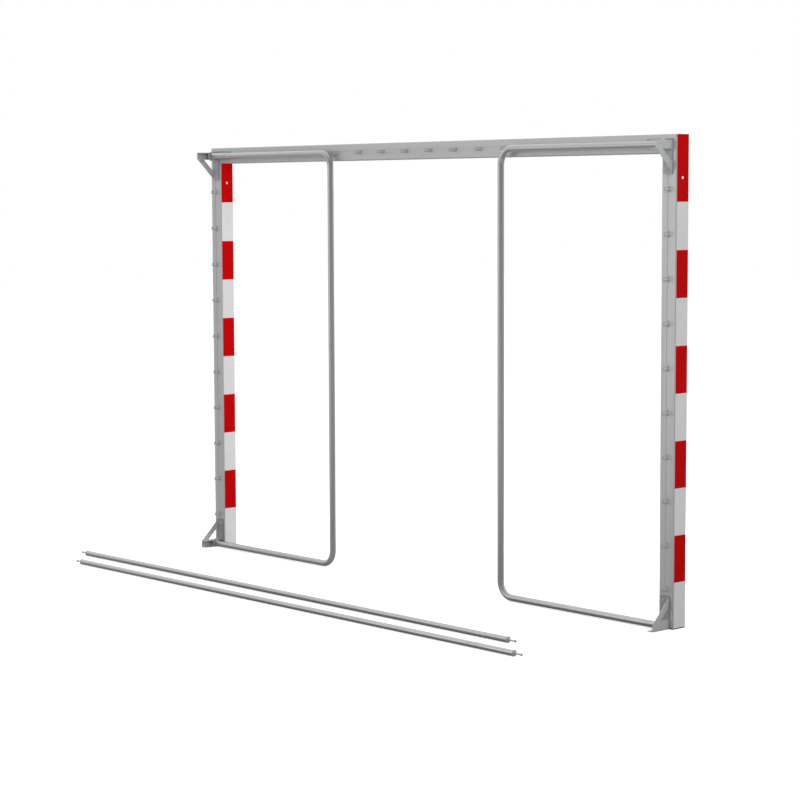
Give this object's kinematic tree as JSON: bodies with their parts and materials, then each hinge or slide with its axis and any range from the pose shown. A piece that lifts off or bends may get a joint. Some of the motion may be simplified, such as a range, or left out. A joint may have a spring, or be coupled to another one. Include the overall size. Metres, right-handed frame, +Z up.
{
  "type": "handball goal",
  "caption": "Full-size indoor handball goal of square aluminium profile with red and white stripes, net hooks, two fold-flat rear hoops on corner brackets and loose link bars.",
  "frame": {"origin": "on the floor, in the middle of the footprint, which runs from the front of the goal frame to the rear of the loose bars and from the right post to the end of the bar that reaches past the left post", "axes": "+X runs along the crossbar to the left post as seen by somebody who stands behind the goal and looks out of its mouth, +Y points to the rear, where the hoops open, and +Z is up"},
  "size_m": [3.3712, 0.9636, 2.08],
  "materials": {
    "painted_profile": "satin",
    "tube_aluminium": "satin",
    "connector_aluminium": "matte",
    "bracket_steel": "satin",
    "hook_plastic": "matte",
    "foot_plastic": "matte"
  },
  "bodies": {
    "frame": {"bracket_left_bottom": "bracket_steel", "bracket_left_top": "bracket_steel", "bracket_right_bottom": "bracket_steel", "bracket_right_top": "bracket_steel", "corner_connector_left": "connector_aluminium", "corner_connector_right": "connector_aluminium", "crossbar": "painted_profile", "foot_cap_left": "foot_plastic", "foot_cap_right": "foot_plastic", "hinge_pin_left_bottom": "bracket_steel", "hinge_pin_left_top": "bracket_steel", "hinge_pin_right_bottom": "bracket_steel", "hinge_pin_right_top": "bracket_steel", "hook_crossbar_01": "hook_plastic", "hook_crossbar_02": "hook_plastic", "hook_crossbar_03": "hook_plastic", "hook_crossbar_04": "hook_plastic", "hook_crossbar_05": "hook_plastic", "hook_crossbar_06": "hook_plastic", "hook_crossbar_07": "hook_plastic", "hook_crossbar_08": "hook_plastic", "hook_crossbar_09": "hook_plastic", "hook_crossbar_10": "hook_plastic", "hook_crossbar_11": "hook_plastic", "hook_crossbar_12": "hook_plastic", "hook_crossbar_13": "hook_plastic", "hook_crossbar_14": "hook_plastic", "hook_crossbar_15": "hook_plastic", "hook_crossbar_16": "hook_plastic", "hook_left_01": "hook_plastic", "hook_left_02": "hook_plastic", "hook_left_03": "hook_plastic", "hook_left_04": "hook_plastic", "hook_left_05": "hook_plastic", "hook_left_06": "hook_plastic", "hook_left_07": "hook_plastic", "hook_left_08": "hook_plastic", "hook_left_09": "hook_plastic", "hook_left_10": "hook_plastic", "hook_right_01": "hook_plastic", "hook_right_02": "hook_plastic", "hook_right_03": "hook_plastic", "hook_right_04": "hook_plastic", "hook_right_05": "hook_plastic", "hook_right_06": "hook_plastic", "hook_right_07": "hook_plastic", "hook_right_08": "hook_plastic", "hook_right_09": "hook_plastic", "hook_right_10": "hook_plastic", "post_left": "painted_profile", "post_right": "painted_profile"},
    "hoop_left": {"hoop_left": "tube_aluminium"},
    "hoop_right": {"hoop_right": "tube_aluminium"},
    "bar_upper": {"bar_upper": "tube_aluminium", "bar_upper_stud_left": "bracket_steel", "bar_upper_stud_right": "bracket_steel"},
    "bar_lower": {"bar_lower": "tube_aluminium", "bar_lower_stud_left": "bracket_steel", "bar_lower_stud_right": "bracket_steel"}
  },
  "joints": [
    {"name": "hoop_left_hinge", "type": "hinge", "parent": "frame", "child": "hoop_left", "pos_m": [1.4309, -0.36675, 1.03], "axis": [0, 0, -1], "range_deg": [0, 90]},
    {"name": "hoop_right_hinge", "type": "hinge", "parent": "frame", "child": "hoop_right", "pos_m": [-1.6421, -0.36675, 1.03], "axis": [0, 0, 1], "range_deg": [0, 90]},
    {"name": "bar_upper_place", "type": "slide", "parent": "frame", "child": "bar_upper", "axis": [0, 1, 0], "range_m": [0, 0.38]},
    {"name": "bar_lower_place", "type": "slide", "parent": "frame", "child": "bar_lower", "axis": [0, 1, 0], "range_m": [0, 0.38]}
  ],
  "couplings": [
    {"joint": "hoop_right_hinge", "follows": "hoop_left_hinge", "ratio": 1},
    {"joint": "bar_upper_place", "follows": "hoop_left_hinge", "m_per_rad": 0.24},
    {"joint": "bar_lower_place", "follows": "hoop_left_hinge", "m_per_rad": 0.24}
  ]
}
